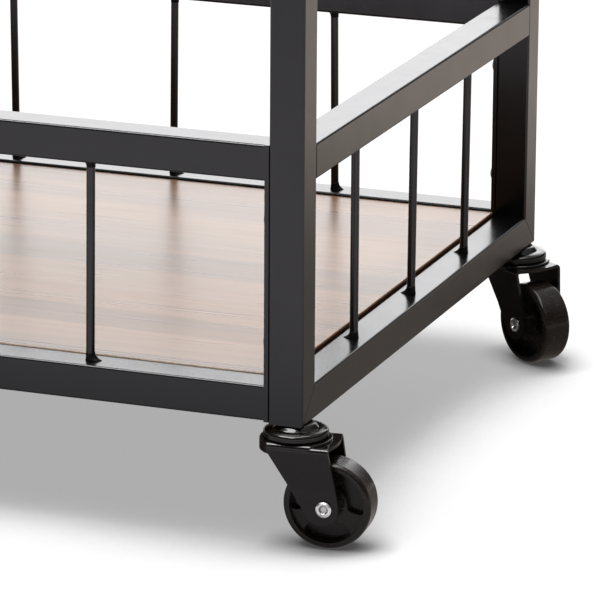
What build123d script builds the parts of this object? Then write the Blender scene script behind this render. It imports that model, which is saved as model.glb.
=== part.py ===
from build123d import *
import os
from math import asin, atan2, cos, hypot, radians, sin

# Two-tier bar cart: a welded square-tube frame on four swivel casters, with a railed shelf at
# the bottom and another at the top. Millimetres. +X is the cart's right, +Y its rear, +Z up.
# The origin is on the floor below the cart's centre.

# ---------------------------------------------------------------- driving dimensions
cart_length = 800.0             # over the posts, along X
cart_depth = 410.0              # over the posts, along Y
cart_height = 850.0             # floor to the top of the side frames
caster_height = 68.9            # floor to the bottom of the posts

tube = 20.0                     # square tube, outside
tube_wall = 1.5
tube_corner = 1.4               # outside corner radius of the tube
gallery_rise = 134.5            # from the bottom of a shelf rail to the bottom of its gallery rail
front_panel_lift = 1.5          # long front panels sit this far above the welded side rails
rear_panel_lift = 3.5

spindle_radius = 2.4
long_bays = 7                   # bays between the posts along the length
# The hand-welded rods lean a little. Each pair is the foot and the top of a rod along Y.
side_spindle_lines = ((-96.3, -96.3), (0.7, 2.9), (95.9, 98.4))
# How far the top of each rod leans along X, from the left end of the panel to the right.
long_spindle_leans = {
    "front": (0.4, -0.6, 0.5, -0.3, 0.6, 1.0),
    "rear": (-0.6, 0.5, -0.4, -1.0, 0.9, -1.1),
}

end_plate_thickness = 2.5
end_plate_drop = 0.6            # the plate stands this far below its panel
bolt_heights = (44.3, 112.7)    # above the bottom of the shelf's side rail

board_thickness = 12.0
board_proud = 22.0              # top of the board above the bottom of the side rail
board_gap = 1.0                 # all round, to the rails
board_edge = 0.5                # rounding of the board's top edge

tab_length = 30.0
tab_width = 16.0
tab_thickness = 2.5
tab_screw_inset = 10.0          # from the rail to the screw
long_tab_positions = (-250.0, 0.0, 250.0)
side_tab_positions = (-80.0, 80.0)

wheel_radius = 24.7
wheel_half_width = 9.5
stem_outward = 2.3              # the stems stand off the middle of the posts along X
stem_inward = 1.3               # and along Y
stem_radius = 3.93
caster_trail = 19.8             # from the stem's axis back to the axle
crown_radius = 20.1
crown_top = -8.4                # heights on a caster are from the bottom of the post
plate_top = -9.7                # fork plate
fork_sheet = 1.8
fork_bend = 2.4                 # outside radius between the plate and a leg
plate_half_width = 16.7         # over the fork's legs at the plate
leg_half_width = 14.6           # over the legs at the axle
axle_radius = 3.0
leg_tip_radius = 9.6
leg_tip_x = 18.15               # the rounded end of a leg is centred a little ahead of the axle

# Trailing direction of each caster, degrees from +X. Opposite corners are half a turn apart.
caster_corners = {
    "front_right": (1, -1, 5.2),
    "rear_right": (1, 1, -36.0),
    "rear_left": (-1, 1, 185.2),
    "front_left": (-1, -1, 144.0),
}

# ---------------------------------------------------------------- worked-out dimensions
half_length = cart_length / 2
half_depth = cart_depth / 2
post_x = half_length - tube / 2
post_y = half_depth - tube / 2
stem_x = post_x + stem_outward
stem_y = post_y - stem_inward
inner_x = half_length - tube            # inner faces of the side frames
inner_y = half_depth - tube             # inner faces of the long rails
tube_inside = tube - 2 * tube_wall
tier_levels = {
    "lower": caster_height,
    "upper": cart_height - gallery_rise - tube,
}
panel_sides = {"front": (-1, front_panel_lift), "rear": (1, rear_panel_lift)}
hand_sides = {"left": -1, "right": 1}
bay = 2 * inner_x / long_bays
axle_drop = wheel_radius - caster_height
board_underside = board_proud - board_thickness

nodes = {}


# ---------------------------------------------------------------- shared shapes
def cylinder_along(origin, direction, radius, length):
    """Solid cylinder that starts at origin and runs along direction."""
    return extrude(Plane(origin=origin, z_dir=direction) * Circle(radius), amount=length)


def tube_between(start, end):
    """Square tube with rounded corners whose centre line runs from start to end."""
    run = Vector(*end) - Vector(*start)
    across = (1, 0, 0) if abs(run.X) < 1 else (0, 1, 0)
    section = RectangleRounded(tube, tube, tube_corner)
    section -= RectangleRounded(tube_inside, tube_inside, tube_corner / 3)
    return extrude(Plane(origin=start, x_dir=across, z_dir=run) * section, amount=run.length)


def mitred(solid, level, rear, up, keep):
    """Cut a side-frame tube at 45 degrees at the corner at the given level.

    rear is -1 for the front corner and 1 for the rear one; up is 1 at the bottom of the frame
    and -1 at its top. Keep.TOP keeps the post's side of the cut, Keep.BOTTOM the rail's.
    """
    cut = Plane(origin=(0, rear * half_depth, level), x_dir=(1, 0, 0), z_dir=(0, rear, up))
    return split(solid, bisect_by=cut, keep=keep)


def revolved(points):
    """Turn an outline of (radius, height) points about the Z axis."""
    outline = make_face(Plane.XZ * Polyline(*points, close=True))
    return revolve(outline, axis=Axis.Z)


def as_group(solids):
    """Several separate solids as one shape."""
    return Compound(children=[solid for shape in solids for solid in shape.solids()])


# ---------------------------------------------------------------- side frames
def build_posts():
    insert_hole = 4.45
    for end, rear in (("front", -1), ("rear", 1)):
        for hand, side in hand_sides.items():
            x = side * post_x
            y = rear * post_y
            post = tube_between((x, y, caster_height), (x, y, cart_height))
            post = mitred(post, caster_height, rear, 1, Keep.TOP)
            post = mitred(post, cart_height, rear, -1, Keep.TOP)
            for level in tier_levels.values():
                for height in bolt_heights:
                    mouth = (side * (inner_x - 1), y, level + height)
                    post -= cylinder_along(mouth, (side, 0, 0), insert_hole, tube_wall + 2)
            nodes[f"post_{end}_{hand}"] = post


def build_side_rails():
    stem_hole = stem_radius + 0.27
    for hand, side in hand_sides.items():
        x = side * post_x
        for tier, level in tier_levels.items():
            lower_end = level if tier == "lower" else None
            upper_end = None if tier == "lower" else cart_height
            shelf_rail = side_rail(x, level, lower_end, 1)
            gallery_rail = side_rail(x, level + gallery_rise, upper_end, -1)
            if tier == "lower":
                for rear in (-1, 1):
                    below = (side * stem_x, rear * stem_y, level - 1)
                    shelf_rail -= cylinder_along(below, (0, 0, 1), stem_hole, tube_wall + 2)
            nodes[f"side_{tier}_shelf_rail_{hand}"] = shelf_rail
            nodes[f"side_{tier}_gallery_rail_{hand}"] = gallery_rail


def side_rail(x, bottom, mitre_level, up):
    """Rail of a side frame, mitred at both ends or, with no mitre level, butted to the posts."""
    z = bottom + tube / 2
    if mitre_level is None:
        return tube_between((x, -inner_y, z), (x, inner_y, z))
    rail = tube_between((x, -half_depth, z), (x, half_depth, z))
    rail = mitred(rail, mitre_level, -1, up, Keep.BOTTOM)
    return mitred(rail, mitre_level, 1, up, Keep.BOTTOM)


def spindle(foot, top, bottom):
    """Round rod between two rails, cut flush with them; foot and top are (x, y) of its ends."""
    start = Vector(*foot, bottom)
    run = Vector(*top, bottom + gallery_rise - tube) - start
    overrun = run.normalized() * tube_wall
    rod = cylinder_along(start - overrun, run, spindle_radius, run.length + 2 * tube_wall)
    middle = (start.X, start.Y, bottom + (gallery_rise - tube) / 2)
    return rod & Pos(*middle) * Box(tube, tube, gallery_rise - tube)


def build_side_spindles():
    for tier, level in tier_levels.items():
        rods = []
        for side in hand_sides.values():
            for foot_y, top_y in side_spindle_lines:
                rods.append(spindle((side * post_x, foot_y), (side * post_x, top_y), level + tube))
        nodes[f"side_{tier}_spindles"] = as_group(rods)


# ---------------------------------------------------------------- long panels
def build_long_panels():
    rail_end = inner_x - end_plate_thickness
    for panel, (rear, lift) in panel_sides.items():
        y = rear * post_y
        for tier, level in tier_levels.items():
            bottom = level + lift
            for rail, rise in (("shelf_rail", 0), ("gallery_rail", gallery_rise)):
                z = bottom + rise + tube / 2
                nodes[f"{panel}_{tier}_{rail}"] = tube_between((-rail_end, y, z), (rail_end, y, z))
            rods = []
            for step, lean in enumerate(long_spindle_leans[panel], 1):
                x = step * bay - inner_x
                rods.append(spindle((x, y), (x + lean, y), bottom + tube))
            nodes[f"{panel}_{tier}_spindles"] = as_group(rods)


def build_end_plates():
    bolt_hole = 3.3
    slot_play = 2.0             # the bolt holes are slots, this much longer than they are wide
    plates = []
    height = gallery_rise + tube + end_plate_drop
    for rear, lift in panel_sides.values():
        y = rear * post_y
        for level in tier_levels.values():
            bottom = level + lift - end_plate_drop
            for side in hand_sides.values():
                x = side * (inner_x - end_plate_thickness / 2)
                plate = Pos(x, y, bottom + height / 2) * Box(end_plate_thickness, tube, height)
                for bolt in bolt_heights:
                    start = Plane(origin=(x - end_plate_thickness, y, level + bolt),
                                  x_dir=(0, 0, 1), z_dir=(1, 0, 0))
                    slot = SlotCenterToCenter(slot_play, 2 * bolt_hole)
                    plate -= extrude(start * slot, amount=2 * end_plate_thickness)
                plates.append(plate)
    nodes["panel_end_plates"] = as_group(plates)


def panel_bolt():
    """Button-head bolt with a hexagon socket: its head sits on height 0, its shank hangs below."""
    head_radius = 5.25
    head_height = 3.6
    dome_radius = 7.6
    socket_radius = 2.31
    socket_depth = 2.0
    shank_radius = 2.95
    shank_length = end_plate_thickness + 9.5
    head = Pos(0, 0, head_height / 2) * Cylinder(head_radius, head_height)
    head &= Pos(0, 0, head_height - dome_radius) * Sphere(dome_radius)
    socket = extrude(RegularPolygon(socket_radius, 6), amount=head_height)
    shank = Pos(0, 0, -shank_length / 2) * Cylinder(shank_radius, shank_length)
    return head - Pos(0, 0, head_height - socket_depth) * socket + shank


def build_panel_bolts():
    insert_length = 11.0
    insert_radius = 4.4
    insert_bore = 3.0
    bolt = panel_bolt()
    bolts = []
    inserts = []
    for side in hand_sides.values():
        head_seat = side * (inner_x - end_plate_thickness)
        for rear in (-1, 1):
            for level in tier_levels.values():
                for height in bolt_heights:
                    y = rear * post_y
                    z = level + height
                    bolts.append(Plane(origin=(head_seat, y, z), z_dir=(-side, 0, 0)) * bolt)
                    mouth = (side * inner_x, y, z)
                    insert = cylinder_along(mouth, (side, 0, 0), insert_radius, insert_length)
                    insert -= cylinder_along(mouth, (side, 0, 0), insert_bore, insert_length)
                    inserts.append(insert)
    nodes["panel_bolts"] = as_group(bolts)
    nodes["panel_bolt_inserts"] = as_group(inserts)


# ---------------------------------------------------------------- shelves
def tab_places():
    """Middle of each tab's welded edge, and the direction that the tab points in."""
    places = []
    for x in long_tab_positions:
        places.append((x, -inner_y, 0, 1))
        places.append((x, inner_y, 0, -1))
    for y in side_tab_positions:
        places.append((-inner_x, y, 1, 0))
        places.append((inner_x, y, -1, 0))
    return places


def build_shelves():
    screw_radius = 1.75
    screw_depth = 9.0
    screw_head = 2.2
    hole_play = 0.05
    tabs = []
    screws = []
    for tier, level in tier_levels.items():
        underside = level + board_underside
        width = 2 * (inner_x - board_gap)
        depth = 2 * (inner_y - board_gap)
        board = Pos(0, 0, underside + board_thickness / 2) * Box(width, depth, board_thickness)
        board = fillet(board.faces().sort_by(Axis.Z)[-1].edges(), board_edge)
        for x, y, dx, dy in tab_places():
            middle = (x + dx * tab_width / 2, y + dy * tab_width / 2, underside - tab_thickness / 2)
            size = (tab_length, tab_width) if dy else (tab_width, tab_length)
            tab = Pos(*middle) * Box(*size, tab_thickness)
            hole = (x + dx * tab_screw_inset, y + dy * tab_screw_inset, underside - tab_thickness)
            tab -= cylinder_along(hole, (0, 0, 1), screw_radius + hole_play, tab_thickness)
            tabs.append(tab)
            pilot = cylinder_along(hole, (0, 0, 1), screw_radius + hole_play, tab_thickness + screw_depth)
            board -= pilot
            shank = cylinder_along(hole, (0, 0, 1), screw_radius, tab_thickness + screw_depth - hole_play)
            head_top = (hole[0], hole[1], hole[2] - screw_head)
            screws.append(shank + cylinder_along(head_top, (0, 0, 1), 2 * screw_radius, screw_head))
        nodes[f"{tier}_shelf_board"] = board
    nodes["shelf_tabs"] = as_group(tabs)
    nodes["shelf_screws"] = as_group(screws)


# ---------------------------------------------------------------- casters
# Each caster is modelled about its stem: the stem's axis is the Z axis, the bottom of the post is
# at height 0 and the wheel trails towards +X.
def caster_bush():
    bore = stem_radius + 0.07
    outside = 6.0
    length = 20.0
    return revolved([(bore, tube_wall), (outside, tube_wall), (outside, tube_wall + length),
                     (bore, tube_wall + length)])


def caster_stem():
    rivet_radius = 6.5
    rivet_top = plate_top - fork_sheet - 0.3
    rivet_bottom = rivet_top - 2.4
    stem_top = 20.0
    return revolved([(0, rivet_bottom), (rivet_radius - 1.5, rivet_bottom),
                     (rivet_radius, rivet_bottom + 1.2), (rivet_radius, rivet_top),
                     (stem_radius, rivet_top), (stem_radius, stem_top - 1),
                     (stem_radius - 1, stem_top), (0, stem_top)])


def caster_cup():
    """Upper raceway: a pressed cup, clamped between the stem and the bottom of the post."""
    bore = stem_radius + 0.02
    with BuildPart() as cup:
        with BuildSketch(Plane.XZ):
            with BuildLine():
                top = Polyline((bore, -1.6), (bore, 0), (8.6, 0))
                shoulder = Spline(top @ 1, (12.4, -2.8), tangents=((1, -0.1), (0.7, -0.7)))
                crest = Spline(shoulder @ 1, (14.3, -2.7), (16.9, -3.6), tangents=((0.8, 0.3), (1, -0.5)))
                lip = TangentArc(crest @ 1, (18.0, -5.4), tangent=(1, -0.5))
                rim = Polyline(lip @ 1, (18.0, -7.2), (16.8, -7.2), (16.8, -5.8), (15.8, -4.8))
                under = Spline(rim @ 1, (11.8, -4.2), (8.2, -1.6), tangents=((-1, 0.25), (-1, 0.1)))
                Line(under @ 1, (bore, -1.6))
            make_face()
        revolve(axis=Axis.Z)
    return cup.part


def bearing_balls():
    count = 14
    ring_radius = 14.2
    ball_radius = 1.6
    ball_height = crown_top + ball_radius + 0.05
    balls = [Pos(ring_radius * cos(radians(360 * k / count)), ring_radius * sin(radians(360 * k / count)),
                 ball_height) * Sphere(ball_radius) for k in range(count)]
    return as_group(balls)


def tangent_point(start, turn):
    """Where a line from start touches the round tip of a fork leg; turn is -1 or 1."""
    dx = leg_tip_x - start[0]
    dz = axle_drop - start[1]
    distance = hypot(dx, dz)
    heading = atan2(dz, dx) + turn * asin(leg_tip_radius / distance)
    run = (distance ** 2 - leg_tip_radius ** 2) ** 0.5
    return (start[0] + run * cos(heading), start[1] + run * sin(heading))


def leg_channel(inset):
    """Inverted U that narrows from the plate to the axle, its faces set in by inset."""
    straight_from = plate_top - 3.0
    upright_from = -34.0
    foot = axle_drop - 2 * leg_tip_radius
    wide = plate_half_width - inset
    narrow = leg_half_width - inset
    top = plate_top - inset
    section = Polyline((-wide, top), (wide, top), (wide, straight_from), (narrow, upright_from),
                       (narrow, foot), (-narrow, foot), (-narrow, upright_from),
                       (-wide, straight_from), close=True)
    solid = extrude(Plane.YZ * make_face(section), amount=2 * crown_radius, both=True)
    return fillet(solid.edges().filter_by(Axis.X).sort_by(Axis.Z)[-2:], fork_bend - inset)


def caster_fork():
    """Stamped fork: a plate with a raised raceway crown, and a slanting leg on each side."""
    plate_bottom = plate_top - fork_sheet
    heel = (21.9, plate_top)
    shoulder = (-10.9, plate_top - 5.8)
    nose_x = -(crown_radius ** 2 - plate_half_width ** 2) ** 0.5
    nose_bottom = plate_top - 5.0
    outline = [(nose_x, plate_top), heel, tangent_point(heel, 1), (leg_tip_x, axle_drop),
               tangent_point(shoulder, -1), shoulder, (nose_x, nose_bottom)]
    side_view = Plane.XZ * make_face(Polyline(*outline, close=True))
    side_view += Plane.XZ * (Pos(leg_tip_x, axle_drop) * Circle(leg_tip_radius))
    profile = extrude(side_view, amount=2 * plate_half_width, both=True)
    fork = (leg_channel(0) - leg_channel(fork_sheet)) & profile

    tail_bulge = 2.4            # how far the plate's rounded end stands behind the legs
    tail_start = heel[0] - 8
    tail_half = plate_half_width - fork_bend
    tail_line = [Polyline((heel[0], tail_half), (tail_start, tail_half), (tail_start, -tail_half),
                          (heel[0], -tail_half)),
                 ThreePointArc((heel[0], -tail_half), (heel[0] + tail_bulge, 0), (heel[0], tail_half))]
    fork += extrude(Plane.XY.offset(plate_bottom) * make_face(tail_line), amount=fork_sheet)

    inside = crown_radius - fork_sheet
    dish_radius = 10.5
    crown_rounding = 0.8
    crown = revolved([(0, plate_bottom), (0, plate_top), (dish_radius, plate_top),
                      (dish_radius + 1, crown_top), (crown_radius, crown_top),
                      (crown_radius, plate_bottom)])
    outer_edges = crown.edges().filter_by(GeomType.CIRCLE).sort_by(SortBy.RADIUS)[-2:]
    crown = fillet(outer_edges.sort_by(Axis.Z)[-1], crown_rounding)
    hood_height = crown_top - nose_bottom       # the hood trims the crown to the plate's width
    hood = Box(3 * crown_radius, 2 * plate_half_width, hood_height)
    hood = Pos(0, 0, nose_bottom + hood_height / 2) * hood
    hood = fillet(hood.edges().filter_by(Axis.X).sort_by(Axis.Z)[-2:], fork_bend)
    skirt = revolved([(inside, nose_bottom), (inside, plate_top), (crown_radius, plate_top),
                      (crown_radius, nose_bottom)])
    skirt = split(skirt, bisect_by=Plane(origin=(nose_x, 0, 0), z_dir=(-1, 0, 0)), keep=Keep.TOP)
    fork += crown & hood
    fork += skirt

    fork -= cylinder_along((0, 0, plate_bottom - 1), (0, 0, 1), stem_radius + 0.07, 2 * fork_sheet)
    beside = (caster_trail, plate_half_width, axle_drop)
    fork -= cylinder_along(beside, (0, -1, 0), axle_radius + 0.05, 2 * plate_half_width)
    return fork


def caster_axle():
    """Tubular rivet through the fork, with a dimpled round head on the front side."""
    head = leg_half_width
    profile = [(0, -head - 0.2), (2.0, -head - 0.2), (2.7, -head - 1.3), (3.6, -head - 1.5),
               (4.4, -head - 1.0), (4.5, -head), (axle_radius, -head), (axle_radius, head),
               (4.0, head), (3.9, head + 0.9), (3.0, head + 1.2), (2.2, head + 0.9), (2.0, head), (0, head)]
    rivet = revolve(make_face(Plane.XY * Polyline(*profile, close=True)), axis=Axis.Y)
    return Pos(caster_trail, 0, axle_drop) * rivet


def wheel_bush():
    length = 23.8
    bush = Cylinder(4.4, length) - Cylinder(axle_radius + 0.06, length)
    return Pos(caster_trail, 0, axle_drop) * (Rot(90, 0, 0) * bush)


def caster_wheel():
    """Moulded wheel: rounded tread, recessed sides, three spokes with hollow bays between them."""
    tread_round = 2.6
    rim_inside = 21.0
    web_half = 6.8              # half the thickness across the spokes
    floor_half = 2.6            # half the thickness in the bays
    hub_radius = 7.4
    hub_half = 11.6
    bay_inner = 11.0
    bay_half_angle = radians(43)
    bay_corner = 3.0
    bush_hole = 4.45
    beyond = 2 * wheel_radius   # reach of the wedge that bounds a bay
    wheel = Cylinder(wheel_radius, 2 * wheel_half_width)
    wheel = fillet(wheel.edges().filter_by(GeomType.CIRCLE), tread_round)
    recess_depth = wheel_half_width - web_half
    bay_depth = web_half - floor_half
    for face in (-1, 1):
        lip = Pos(0, 0, face * (wheel_half_width - recess_depth / 2))
        wheel -= lip * Cylinder(rim_inside, recess_depth)
        for spoke in range(3):
            sector = Circle(rim_inside) - Circle(bay_inner)
            away = beyond * cos(bay_half_angle)
            aside = beyond * sin(bay_half_angle)
            wedge = Polyline((0, 0), (away, aside), (beyond, 0), (away, -aside), close=True)
            sector = sector & make_face(wedge)
            sector = fillet(sector.vertices(), bay_corner)
            hollow = extrude(sector, amount=bay_depth / 2, both=True)
            turn = Rot(0, 0, 30 + 120 * spoke)
            wheel -= turn * (Pos(0, 0, face * (floor_half + bay_depth / 2)) * hollow)
    wheel += Cylinder(hub_radius, 2 * hub_half)
    wheel -= Cylinder(bush_hole, 3 * hub_half)
    return Pos(caster_trail, 0, axle_drop) * (Rot(90, 0, 0) * wheel)


def build_casters():
    swivelling = {
        "caster_cup": caster_cup(),
        "caster_balls": bearing_balls(),
        "caster_fork": caster_fork(),
        "caster_axle": caster_axle(),
        "caster_wheel": caster_wheel(),
        "caster_wheel_bush": wheel_bush(),
    }
    stem = caster_stem()
    bush = caster_bush()
    stems = []
    bushes = []
    for corner, (side, rear, angle) in caster_corners.items():
        place = Location((side * stem_x, rear * stem_y, caster_height), (0, 0, angle))
        stems.append(place * stem)
        bushes.append(place * bush)
        for name, shape in swivelling.items():
            nodes[f"{name}_{corner}"] = place * shape
    nodes["caster_stems"] = as_group(stems)
    nodes["caster_stem_bushes"] = as_group(bushes)


build_posts()
build_side_rails()
build_side_spindles()
build_long_panels()
build_end_plates()
build_panel_bolts()
build_shelves()
build_casters()

os.makedirs("parts", exist_ok=True)
for node, shape in nodes.items():
    export_step(shape, f"parts/{node}.step")
print(len(nodes), "nodes")
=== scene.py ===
"""Looks of the bar cart: materials, weld beads, floor, light and camera."""

import math
import random

import bmesh
import bpy
from mathutils import Matrix, Vector


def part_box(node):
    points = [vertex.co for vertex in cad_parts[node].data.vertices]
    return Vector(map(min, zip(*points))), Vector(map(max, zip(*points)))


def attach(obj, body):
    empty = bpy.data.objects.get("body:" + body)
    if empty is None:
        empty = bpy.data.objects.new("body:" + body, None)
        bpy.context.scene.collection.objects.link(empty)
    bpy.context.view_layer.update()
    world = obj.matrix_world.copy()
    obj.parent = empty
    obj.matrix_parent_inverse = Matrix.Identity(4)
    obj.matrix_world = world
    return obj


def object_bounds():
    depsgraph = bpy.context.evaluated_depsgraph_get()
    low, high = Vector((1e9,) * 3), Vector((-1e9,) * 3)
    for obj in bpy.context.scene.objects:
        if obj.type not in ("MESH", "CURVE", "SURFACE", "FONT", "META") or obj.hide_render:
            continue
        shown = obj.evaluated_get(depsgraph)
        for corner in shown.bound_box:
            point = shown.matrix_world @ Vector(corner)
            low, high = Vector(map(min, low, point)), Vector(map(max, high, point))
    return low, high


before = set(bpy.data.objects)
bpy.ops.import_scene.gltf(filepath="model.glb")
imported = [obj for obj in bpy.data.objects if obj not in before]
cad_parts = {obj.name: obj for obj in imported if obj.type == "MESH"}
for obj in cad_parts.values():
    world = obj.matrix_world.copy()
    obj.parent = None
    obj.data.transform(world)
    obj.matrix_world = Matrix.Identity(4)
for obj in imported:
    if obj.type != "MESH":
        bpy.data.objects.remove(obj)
cad_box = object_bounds()


# ---------------------------------------------------------------- node helpers
class Shader:
    """Builds the nodes of one tree. An input value that is a socket is linked, others are set."""

    def __init__(self, tree):
        self.tree = tree
        tree.nodes.clear()

    def add(self, kind, values=None, **settings):
        node = self.tree.nodes.new(kind)
        for key, value in settings.items():
            setattr(node, key, value)
        for key, value in (values or {}).items():
            self.put(node.inputs[key], value)
        return node

    def put(self, socket, value):
        if isinstance(value, bpy.types.NodeSocket):
            self.tree.links.new(value, socket)
        else:
            socket.default_value = value

    def math(self, operation, *values):
        node = self.add("ShaderNodeMath", operation=operation)
        for socket, value in zip(node.inputs, values):
            self.put(socket, value)
        return node.outputs[0]

    def plus(self, first, second):
        return self.math("ADD", first, second)

    def minus(self, first, second):
        return self.math("SUBTRACT", first, second)

    def times(self, first, second):
        return self.math("MULTIPLY", first, second)

    def absolute(self, value):
        return self.math("ABSOLUTE", value)

    def here(self):
        return self.add("ShaderNodeTexCoord").outputs["Object"]

    def facing(self):
        return self.add("ShaderNodeNewGeometry").outputs["Normal"]

    def axes(self, vector):
        return self.add("ShaderNodeSeparateXYZ", {0: vector}).outputs

    def scaled(self, vector, scale):
        return self.add("ShaderNodeMapping", {"Vector": vector, "Scale": scale}).outputs[0]

    def noise(self, vector, scale, detail=2.0, rough=0.5):
        values = {"Vector": vector, "Scale": scale, "Detail": detail, "Roughness": rough}
        return self.add("ShaderNodeTexNoise", values).outputs["Fac"]

    def grain(self, vector, scale, detail, rough):
        """Noise with its own scale along each axis, such as wood grain or brush marks."""
        return self.noise(self.scaled(vector, scale), 1.0, detail, rough)

    def remap(self, value, low, high, to_low, to_high, smooth=False):
        values = {"Value": value, "From Min": low, "From Max": high, "To Min": to_low, "To Max": to_high}
        kind = "SMOOTHSTEP" if smooth else "LINEAR"
        return self.add("ShaderNodeMapRange", values, interpolation_type=kind).outputs[0]

    def spread(self, noise, low, high):
        """The middle of a noise's range, where nearly all of it lies, spread from low to high."""
        return self.remap(noise, 0.3, 0.7, low, high)

    def blend(self, factor, first, second):
        node = self.add("ShaderNodeMix", data_type="RGBA")
        for index, value in ((0, factor), (6, first), (7, second)):
            if index and not isinstance(value, bpy.types.NodeSocket):
                value = (*value, 1.0)
            self.put(node.inputs[index], value)
        return node.outputs[2]

    def ramp(self, value, stops):
        node = self.add("ShaderNodeValToRGB", {"Fac": value})
        ramp = node.color_ramp
        while len(ramp.elements) < len(stops):
            ramp.elements.new(0.5)
        for element, (place, colour) in zip(ramp.elements, stops):
            element.position = place
            element.color = (*colour, 1.0)
        return node.outputs[0]

    def bump(self, height, distance, strength, under=None):
        values = {"Height": height, "Distance": distance, "Strength": strength}
        if under is not None:
            values["Normal"] = under
        return self.add("ShaderNodeBump", values).outputs[0]

    def edge(self, radius):
        """0 on flat faces, rising towards 1 at sharp and tightly rounded edges."""
        rounded = self.add("ShaderNodeBevel", {"Radius": radius}, samples=4).outputs[0]
        values = {0: rounded, 1: self.facing()}
        along = self.add("ShaderNodeVectorMath", values, operation="DOT_PRODUCT").outputs["Value"]
        return self.remap(along, 0.995, 0.8, 0.0, 1.0)

    def openness(self, distance, samples):
        """1 in the open, and less where other surfaces within the distance shade this one."""
        node = self.add("ShaderNodeAmbientOcclusion", {"Distance": distance}, samples=samples)
        return node.outputs["AO"]

    def surface(self, values):
        shader = self.add("ShaderNodeBsdfPrincipled", values)
        self.add("ShaderNodeOutputMaterial", {"Surface": shader.outputs[0]})


def new_material(name):
    material = bpy.data.materials.new(name)
    material.use_nodes = True
    return material, Shader(material.node_tree)


# ---------------------------------------------------------------- paint
def mitre_line(s, here):
    """1 along the ground-down weld of a side frame's mitred corners, 0 elsewhere."""
    waver = 0.0003
    solid_to = 0.0003
    gone_by = 0.0011
    low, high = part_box("post_rear_right")
    tube = high.x - low.x
    x, y, z = s.axes(here)
    inward = s.minus(high.y, s.absolute(y))
    height = s.math("MINIMUM", s.minus(z, low.z), s.minus(high.z, z))
    wobble = s.spread(s.noise(here, 260.0), -waver, waver)
    off = s.absolute(s.plus(s.minus(inward, height), wobble))
    line = s.remap(off, solid_to, gone_by, 1.0, 0.0, smooth=True)
    on_frame = s.remap(s.absolute(x), low.x - 0.0005, low.x, 0.0, 1.0)
    inside_corner = s.remap(height, tube - 0.001, tube, 1.0, 0.0)
    past_outer_edge = s.remap(height, 0.0005, 0.0015, 0.0, 1.0)
    return s.times(line, s.times(on_frame, s.times(inside_corner, past_outer_edge)))


def satin_paint(name, smoothest, roughest, ior):
    """Black paint with a fine orange peel, a painted highlight of grey along its edges and lines at the
    mitres.
    """
    edge_highlight_grey = (0.014, 0.013, 0.012)
    mitre_black = (0.0012, 0.0010, 0.0009)
    material, s = new_material(name)
    here = s.here()
    cloud = s.noise(here, 14.0, 3.0)
    peel = s.noise(here, 700.0, 2.0, 0.6)
    grit = s.noise(here, 2600.0, 1.0)
    mitre = mitre_line(s, here)
    colour = s.blend(cloud, (0.0016, 0.0015, 0.0017), (0.0030, 0.0027, 0.0027))
    # painted highlight: the edges are blended towards a paler grey, standing in for the light their
    # rounding catches
    colour = s.blend(s.times(s.edge(0.0012), 0.2), colour, edge_highlight_grey)
    colour = s.blend(s.times(mitre, 0.8), colour, mitre_black)
    gloss = s.spread(s.noise(here, 45.0, 4.0, 0.6), smoothest, roughest)
    gloss = s.plus(gloss, s.times(mitre, 0.25))
    gloss = s.plus(gloss, s.spread(grit, -0.02, 0.02))
    normal = s.bump(peel, 0.00004, 0.5)
    normal = s.bump(grit, 0.00002, 0.3, normal)
    normal = s.bump(mitre, 0.00015, 0.7, normal)
    s.surface({"Base Color": colour, "Roughness": gloss, "Normal": normal, "IOR": ior})
    return material


# ---------------------------------------------------------------- boards
def walnut_face(s, here):
    """Colour of the grain, which runs along X, and the streaks, fine lines and pores in it."""
    browns = [(0.36, (0.105, 0.057, 0.034)), (0.46, (0.185, 0.099, 0.052)),
              (0.54, (0.260, 0.144, 0.077)), (0.64, (0.335, 0.200, 0.118))]
    pore_brown = (0.045, 0.026, 0.017)
    x, y, _ = s.axes(here)
    warp = s.times(s.grain(here, (0.9, 3.0, 1.0), 2.0, 0.5), 0.03)
    bent = s.add("ShaderNodeCombineXYZ", {0: x, 1: s.plus(y, warp)}).outputs[0]
    broad = s.grain(bent, (0.9, 15.0, 1.0), 3.0, 0.5)
    streaks = s.grain(bent, (1.8, 75.0, 1.0), 4.0, 0.55)
    fine = s.grain(bent, (3.0, 340.0, 1.0), 3.0, 0.6)
    rings = s.remap(s.math("SINE", s.times(broad, 38.0)), -1.0, 1.0, -0.025, 0.025)
    tone = s.plus(s.times(broad, 0.55), s.times(streaks, 0.33))
    tone = s.plus(s.plus(tone, s.times(fine, 0.12)), rings)
    colour = s.ramp(tone, browns)
    pores = s.grain(here, (9.0, 900.0, 1.0), 2.0, 0.7)
    pores = s.remap(pores, 0.60, 0.74, 0.0, 1.0, smooth=True)
    return s.blend(s.times(pores, 0.22), colour, pore_brown), streaks, fine, pores


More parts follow.
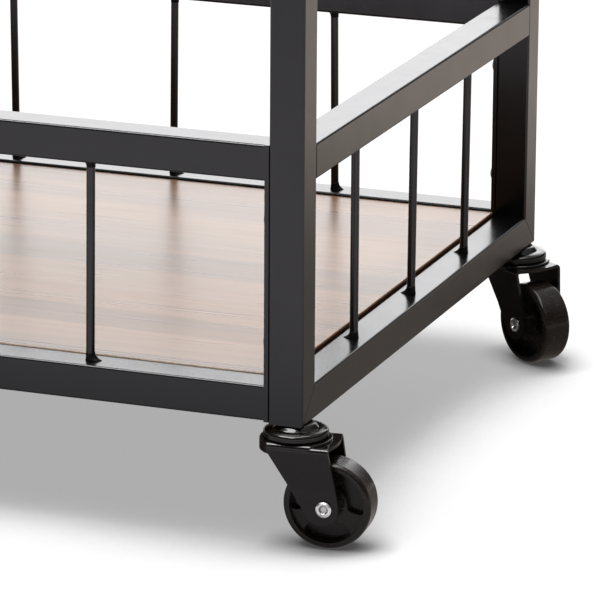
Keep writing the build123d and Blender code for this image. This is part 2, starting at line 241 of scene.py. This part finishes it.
def board_edges(s, here, facing):
    """Colour of the edges and back: pale long edges, partly their own colour and partly painted light;
    ends painted dark brown below a pale lip, a painted shadow of the gap beside the rail; a grey back.
    """
    lip_depth = 0.0009
    blur = 0.0003
    _, _, z = s.axes(here)
    across, forward, up = s.axes(facing)
    chips = s.noise(here, 900.0, 3.0, 0.7)
    # painted shadow: below its pale lip the end face is painted dark, for the shade of the gap beside the
    # rail
    shadowed_end_face = s.blend(chips, (0.035, 0.014, 0.006), (0.080, 0.032, 0.013))
    end_lip = s.blend(chips, (0.36, 0.18, 0.09), (0.50, 0.27, 0.145))
    # the long edges' pale colour is partly their own and partly painted light, making up for the shade of
    # the gap in front
    lightened_long_edge = s.blend(chips, (0.78, 0.60, 0.46), (0.90, 0.72, 0.57))
    back = s.blend(chips, (0.060, 0.058, 0.056), (0.085, 0.082, 0.080))
    tops = [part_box(name)[1].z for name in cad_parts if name.endswith("_shelf_board")]
    depth = s.math("MINIMUM", *(s.absolute(s.minus(top, z)) for top in tops))
    end = s.blend(s.remap(depth, lip_depth, lip_depth + blur, 1.0, 0.0), shadowed_end_face, end_lip)
    sideways = s.minus(s.absolute(across), s.absolute(forward))
    edge = s.blend(s.remap(sideways, -0.02, 0.02, 0.0, 1.0), lightened_long_edge, end)
    return s.blend(s.remap(up, -0.5, -0.9, 0.0, 1.0), edge, back)


def walnut_laminate():
    material, s = new_material("walnut_laminate")
    here = s.here()
    facing = s.facing()
    face, streaks, fine, pores = walnut_face(s, here)
    _, _, up = s.axes(facing)
    colour = s.blend(s.remap(up, 0.84, 0.97, 1.0, 0.0), face, board_edges(s, here, facing))
    gloss = s.plus(s.spread(streaks, 0.26, 0.32), s.times(pores, 0.15))
    normal = s.bump(fine, 0.00001, 0.4)
    normal = s.bump(s.times(pores, -1.0), 0.00002, 0.5, normal)
    s.surface({"Base Color": colour, "Roughness": gloss, "Normal": normal, "IOR": 1.31})
    return material


# ---------------------------------------------------------------- casters and fasteners
def gloss_black():
    """Wet-looking lacquer on the forks and raceway cups, slightly uneven as dipped paint is, with a
    painted highlight of grey along its edges.
    """
    edge_highlight_grey = (0.03, 0.028, 0.026)
    material, s = new_material("gloss_black_lacquer")
    here = s.here()
    colour = s.blend(s.noise(here, 180.0, 3.0), (0.0040, 0.0030, 0.0025), (0.0075, 0.0056, 0.0046))
    # painted highlight: the edges are blended towards a paler grey, standing in for the light their
    # rounding catches
    colour = s.blend(s.times(s.edge(0.0006), 0.2), colour, edge_highlight_grey)
    gloss = s.spread(s.noise(here, 420.0, 4.0, 0.6), 0.08, 0.17)
    normal = s.bump(s.noise(here, 500.0), 0.00006, 0.5)
    s.surface({"Base Color": colour, "Roughness": gloss, "Normal": normal, "IOR": 1.38})
    return material


def wheel_plastic():
    """Moulded black plastic with thin brownish scuffs."""
    scuff_brown = (0.075, 0.052, 0.037)
    material, s = new_material("moulded_wheel")
    here = s.here()
    cloud = s.noise(here, 90.0, 4.0, 0.6)
    scuff = s.grain(here, (300.0, 300.0, 1800.0), 3.0, 0.7)
    scuff = s.remap(scuff, 0.56, 0.70, 0.0, 1.0, smooth=True)
    colour = s.blend(cloud, (0.0050, 0.0037, 0.0031), (0.0160, 0.0110, 0.0083))
    colour = s.blend(s.times(scuff, 0.40), colour, scuff_brown)
    gloss = s.plus(s.spread(cloud, 0.16, 0.30), s.times(scuff, 0.15))
    normal = s.bump(s.noise(here, 650.0, 3.0), 0.00008, 0.5)
    s.surface({"Base Color": colour, "Roughness": gloss, "Normal": normal, "IOR": 1.34})
    return material


def metal(name, dark, light, smoothest, brushing, brush_depth):
    """Bare or plated metal with brush marks, and painted shade where it is closed in."""
    recess_shade_brown = (0.05, 0.048, 0.045)
    material, s = new_material(name)
    here = s.here()
    cloud = s.noise(here, 350.0, 4.0, 0.6)
    brushed = s.grain(here, (brushing, brushing * 8, brushing), 3.0, 0.6)
    # painted shade: where ambient occlusion finds the metal closed in, its colour is darkened towards
    # brown
    recess_shade = s.remap(s.openness(0.003, samples=8), 0.60, 0.96, 0.95, 0.0)
    colour = s.blend(recess_shade, s.blend(cloud, dark, light), recess_shade_brown)
    gloss = s.plus(s.spread(cloud, smoothest, smoothest + 0.14), s.times(brushed, 0.1))
    normal = s.bump(brushed, brush_depth, 0.6)
    s.surface({"Base Color": colour, "Metallic": 1.0, "Roughness": gloss, "Normal": normal})
    return material


def blackened_bolt():
    """Black oxide on steel, mottled, and rubbed paler at the rims."""
    rim_grey = (0.09, 0.088, 0.085)
    material, s = new_material("blackened_bolt")
    mottle = s.noise(s.here(), 900.0, 4.0, 0.65)
    colour = s.blend(mottle, (0.010, 0.010, 0.011), (0.026, 0.025, 0.025))
    colour = s.blend(s.times(s.edge(0.0004), 0.6), colour, rim_grey)
    gloss = s.spread(mottle, 0.26, 0.42)
    normal = s.bump(mottle, 0.00004, 0.5)
    s.surface({"Base Color": colour, "Metallic": 0.4, "Roughness": gloss, "Normal": normal})
    return material


finishes = {
    "black_paint": satin_paint("satin_black_paint", smoothest=0.19, roughest=0.26, ior=1.39),
    "walnut_board": walnut_laminate(),
    "gloss_black_steel": gloss_black(),
    "black_wheel": wheel_plastic(),
    "bright_rivet": metal("bright_zinc_rivet", dark=(0.80, 0.80, 0.78), light=(0.95, 0.95, 0.92),
                          smoothest=0.16, brushing=400.0, brush_depth=0.00002),
    "zinc_steel": metal("zinc_plated_steel", dark=(0.42, 0.42, 0.43), light=(0.62, 0.62, 0.62),
                        smoothest=0.26, brushing=300.0, brush_depth=0.00004),
    "bearing_steel": metal("bearing_steel", dark=(0.60, 0.60, 0.60), light=(0.74, 0.74, 0.74),
                           smoothest=0.08, brushing=600.0, brush_depth=0.00001),
    "black_bolt": blackened_bolt(),
}
weld_finish = satin_paint("painted_weld", smoothest=0.46, roughest=0.60, ior=1.22)
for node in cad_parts.values():
    for index, material in enumerate(node.data.materials):
        node.material_slots[index].link = "OBJECT"
        node.material_slots[index].material = finishes[material.name]


# ---------------------------------------------------------------- weld beads
def collar(bm, foot, up, rod_radius, toe_angle, chance):
    """Fillet of weld round a rod's end, with a toe run out along the rail."""
    around = 28
    levels = 7
    sink = 0.0001               # the bead starts this far inside the rail
    skin = 0.00004              # and stays this far outside the rod
    narrowest = 0.0004          # its reach along the rail, away from the toe
    height = 0.0034 + 0.0010 * chance.random()
    toe = 0.0032 + 0.0012 * chance.random()
    rings = []
    for level in range(levels):
        share = level / (levels - 1)
        z = height * share * (1.0 + 0.15 * share)
        ring = []
        for k in range(around):
            angle = 2 * math.pi * k / around
            lobe = max(0.0, math.cos(angle - toe_angle)) ** 5
            reach = narrowest + toe * lobe
            ripple = 1.0 + 0.10 * math.sin(3 * angle + foot.x * 90) + 0.06 * chance.uniform(-1, 1)
            radius = rod_radius + reach * ripple * (1 - share) ** 2.1 + skin
            point = Vector((radius * math.cos(angle), radius * math.sin(angle), (z - sink) * up))
            ring.append(bm.verts.new(foot + point))
        rings.append(ring)
    for below, above in zip(rings, rings[1:]):
        for k in range(around):
            after = (k + 1) % around
            bm.faces.new((below[k], below[after], above[after], above[k]))
    for ring in (rings[0], rings[-1]):
        bm.faces.new(ring)


def islands_of(bm):
    """The vertices of each connected stretch of a mesh."""
    unseen = set(bm.verts)
    for first in bm.verts:
        if first not in unseen:
            continue
        unseen.remove(first)
        island = [first]
        for vertex in island:
            for edge in vertex.link_edges:
                other = edge.other_vert(vertex)
                if other in unseen:
                    unseen.remove(other)
                    island.append(other)
        yield island


def rods_of(mesh):
    """Foot centre, top centre and radius of each rod in a mesh of separate upright rods."""
    shortest_rod = 0.01
    bm = bmesh.new()
    bm.from_mesh(mesh)
    rods = []
    for island in islands_of(bm):
        bottom = min(v.co.z for v in island)
        top = max(v.co.z for v in island)
        if top - bottom < shortest_rod:
            continue                    # an end cap, which shares no vertex with the rod's side
        rings = [[v.co.copy() for v in island if abs(v.co.z - end) < 1e-5] for end in (bottom, top)]
        foot, head = (sum(ring, Vector()) / len(ring) for ring in rings)
        radius = max((point.xy - foot.xy).length for point in rings[0])
        rods.append((foot, head, radius))
    bm.free()
    rods.sort(key=lambda rod: (round(rod[0].x, 3), round(rod[0].y, 3)))
    return rods


def spindle_welds():
    """Beads at both ends of every spindle, found from the spindles' own solids."""
    chance = random.Random(7)
    for name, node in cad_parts.items():
        if not name.endswith("_spindles"):
            continue
        bm = bmesh.new()
        for foot, head, radius in rods_of(node.data):
            toe = math.pi if name.startswith("side") and foot.x > 0 else 0.0
            collar(bm, foot, 1, radius, toe, chance)
            collar(bm, head, -1, radius, toe + math.pi, chance)
        bmesh.ops.recalc_face_normals(bm, faces=bm.faces)
        mesh = bpy.data.meshes.new(name + "_welds")
        bm.to_mesh(mesh)
        bm.free()
        mesh.polygons.foreach_set("use_smooth", [True] * len(mesh.polygons))
        mesh.validate()
        mesh.materials.append(weld_finish)
        piece = bpy.data.objects.new(name + "_welds", mesh)
        bpy.context.scene.collection.objects.link(piece)
        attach(piece, "cart_frame")


spindle_welds()


# ---------------------------------------------------------------- floor
def flat_sheet(name, size, height, material):
    bm = bmesh.new()
    bmesh.ops.create_grid(bm, x_segments=4, y_segments=4, size=size / 2)
    mesh = bpy.data.meshes.new(name)
    bm.to_mesh(mesh)
    bm.free()
    mesh.materials.append(material)
    sheet = bpy.data.objects.new(name, mesh)
    bpy.context.scene.collection.objects.link(sheet)
    sheet.location.z = height
    return sheet


def studio_floor():
    """Pale floor that glows as a light table does, with painted shadows: its glow is dimmed under the cart
    and where a wheel touches it.
    """
    material, s = new_material("pale_floor")
    here = s.here()
    colour = s.blend(s.noise(here, 3.0, 3.0), (0.06, 0.06, 0.06), (0.065, 0.065, 0.065))
    # painted shadow: ambient occlusion dims the floor's glow under the cart and at each wheel's contact
    painted_cart_shadow = s.remap(s.openness(0.13, samples=24), 0.57, 0.88, 0.41, 0.93, smooth=True)
    painted_wheel_shadow = s.remap(s.openness(0.022, samples=12), 0.35, 1.0, 0.12, 1.0)
    s.surface({"Base Color": colour, "Roughness": 0.8, "Specular IOR Level": 0.1,
               "Normal": s.bump(s.noise(here, 900.0), 0.0001, 0.3),
               "Emission Color": (1.0, 1.0, 1.0, 1.0), "Emission Strength": s.times(painted_cart_shadow, painted_wheel_shadow)})
    flat_sheet("floor", 60.0, -0.0002, material)


def reflection_card():
    """Glowing card on the floor, seen only in gloss, that paints the floor's reflection: painted shade
    makes it dark under the cart and dim round it, and it is bright further off.
    It is cool in front of the cart, and warm beside and behind it."""
    cool = (1.20, 1.15, 1.22)
    warm = (0.97, 0.85, 0.755)
    material, s = new_material("reflection_card")
    x, y, _ = s.axes(s.here())
    low, high = cad_box

    def beyond(left, front, right, back):
        """Distance outside a rectangle on the floor."""
        squares = []
        for along, start, end in ((x, left, right), (y, front, back)):
            away = s.absolute(s.minus(along, (start + end) / 2))
            away = s.math("MAXIMUM", s.minus(away, (end - start) / 2), 0.0)
            squares.append(s.times(away, away))
        return s.math("SQRT", s.plus(*squares))

    around = beyond(low.x - 0.2, low.y - 0.03, high.x + 0.06, high.y + 0.09)
    # painted shade: the glow is dim close to the cart, in front and beside it, and brighter further off
    painted_front_shade = s.remap(around, 0.02, 0.42, 0.55, 1.42, smooth=True)
    fading = s.remap(around, 0.7, 1.7, 1.0, 0.66, smooth=True)
    beside = s.remap(around, 0.03, 0.60, 0.34, 1.18, smooth=True)
    past_front = s.remap(y, -0.25, -0.05, 0.0, 1.0, smooth=True)
    values = {0: past_front, 2: s.times(painted_front_shade, fading), 3: beside}
    level = s.add("ShaderNodeMix", values).outputs[0]
    inset = 0.06
    below = beyond(low.x + inset, low.y + inset / 2, high.x - inset, high.y - inset / 2)
    # painted shadow: the glow is darkest under the cart
    level = s.times(level, s.remap(below, 0.0, 0.07, 0.12, 1.0, smooth=True))
    # painted reflection tint: cool in front of the cart, warm beside and behind it
    glow = s.add("ShaderNodeEmission", {"Color": s.blend(past_front, cool, warm), "Strength": level})
    s.add("ShaderNodeOutputMaterial", {"Surface": glow.outputs[0]})
    card = flat_sheet("reflection_card", 16.0, -0.0001, material)
    card.visible_camera = False
    card.visible_diffuse = False
    card.visible_shadow = False
    card.visible_transmission = False
    card.visible_volume_scatter = False


# ---------------------------------------------------------------- light and camera
def studio_sky():
    """Dim horizon and white overhead, with a bright backdrop behind the cart and to its left."""
    backdrop_compass = -25.0
    backdrop_in_diffuse = 0.2
    world = bpy.data.worlds.new("studio")
    world.use_nodes = True
    bpy.context.scene.world = world
    s = Shader(world.node_tree)
    x, y, z = s.axes(s.add("ShaderNodeTexCoord").outputs["Generated"])

    def towards(compass, narrow, wide):
        """1 in the compass direction given from +Y towards +X, falling to 0 between the two angles."""
        turn = math.radians(compass)
        flat = s.math("SQRT", s.plus(s.times(x, x), s.times(y, y)))
        aim = s.plus(s.times(x, math.sin(turn)), s.times(y, math.cos(turn)))
        share = s.math("DIVIDE", aim, s.math("MAXIMUM", flat, 0.001))
        cosines = [math.cos(math.radians(a)) for a in (wide, narrow)]
        return s.remap(share, *cosines, 0.0, 1.0, smooth=True)

    def between(bottom, low, high, top):
        """1 between the elevations low and high in degrees, 0 below bottom and above top."""
        sines = [math.sin(math.radians(a)) for a in (bottom, low, high, top)]
        rise = s.remap(z, *sines[:2], 0.0, 1.0, smooth=True)
        fall = s.remap(z, *sines[2:], 1.0, 0.0, smooth=True)
        return s.times(rise, fall)

    overhead = s.remap(z, 0.3, 0.95, 0.0, 1.0, smooth=True)
    sky = s.blend(overhead, (0.06, 0.06, 0.06), (0.80, 0.80, 0.81))
    backdrop = s.times(towards(backdrop_compass, 14.0, 40.0), between(-10.0, -2.0, 34.0, 60.0))
    diffuse = s.add("ShaderNodeLightPath").outputs["Is Diffuse Ray"]
    backdrop = s.times(backdrop, s.remap(diffuse, 0.0, 1.0, 1.0, backdrop_in_diffuse))
    higher = s.remap(z, 0.27, 0.42, 0.0, 1.0, smooth=True)
    glare = s.blend(higher, (2.95, 2.95, 2.98), (5.5, 5.5, 5.6))
    values = {"Color": s.blend(backdrop, sky, glare), "Strength": 1.0}
    background = s.add("ShaderNodeBackground", values)
    s.add("ShaderNodeOutputWorld", {"Surface": background.outputs[0]})


def softbox(name, place, aim, width, depth, radiance):
    """Rectangular light whose face has the given radiance, aimed at a point."""
    data = bpy.data.lights.new(name, "AREA")
    data.shape = "RECTANGLE"
    data.size = width
    data.size_y = depth
    data.energy = radiance * math.pi * width * depth
    light = bpy.data.objects.new(name, data)
    bpy.context.scene.collection.objects.link(light)
    light.location = place
    light.rotation_euler = (Vector(aim) - Vector(place)).to_track_quat("-Z", "Y").to_euler()
    light.visible_camera = False
    return light


def studio_light():
    """Broad key light overhead, and one in front that only glosses, for the glints on the paint."""
    softbox("key_softbox", place=(-0.05, 0.0, 3.0), aim=(0.0, 0.0, 0.0),
            width=2.4, depth=2.4, radiance=7.8)
    front = softbox("front_softbox", place=(-0.25, -1.14, 2.39), aim=(0.43, -0.2, 0.05),
                    width=2.3, depth=0.8, radiance=19.0)
    front.visible_diffuse = False


def photo_camera():
    """Long lens that looks down at the lower right front corner of the cart."""
    yaw, pitch, roll = (math.radians(a) for a in (20.50, 16.13, -0.37))
    from_post_foot = Vector((0.8527, -2.2853, 0.7778))
    ahead = Vector((-math.sin(yaw) * math.cos(pitch), math.cos(yaw) * math.cos(pitch), -math.sin(pitch)))
    right = Vector((math.cos(yaw), math.sin(yaw), 0.0))
    down = ahead.cross(right)
    rolled = math.cos(roll) * right + math.sin(roll) * down
    up = rolled.cross(ahead)
    data = bpy.data.cameras.new("camera")
    data.lens = 283.6
    data.sensor_width = 36.0
    data.clip_end = 200.0
    camera = bpy.data.objects.new("camera", data)
    bpy.context.scene.collection.objects.link(camera)
    turn = Matrix((rolled, up, -ahead)).transposed()
    low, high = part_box("post_front_right")
    place = Vector((high.x, low.y, low.z)) + from_post_foot
    camera.matrix_world = Matrix.Translation(place) @ turn.to_4x4()
    bpy.context.scene.camera = camera


studio_floor()
reflection_card()
studio_sky()
studio_light()
photo_camera()
bpy.context.scene.view_settings.view_transform = "Standard"

bpy.context.view_layer.update()
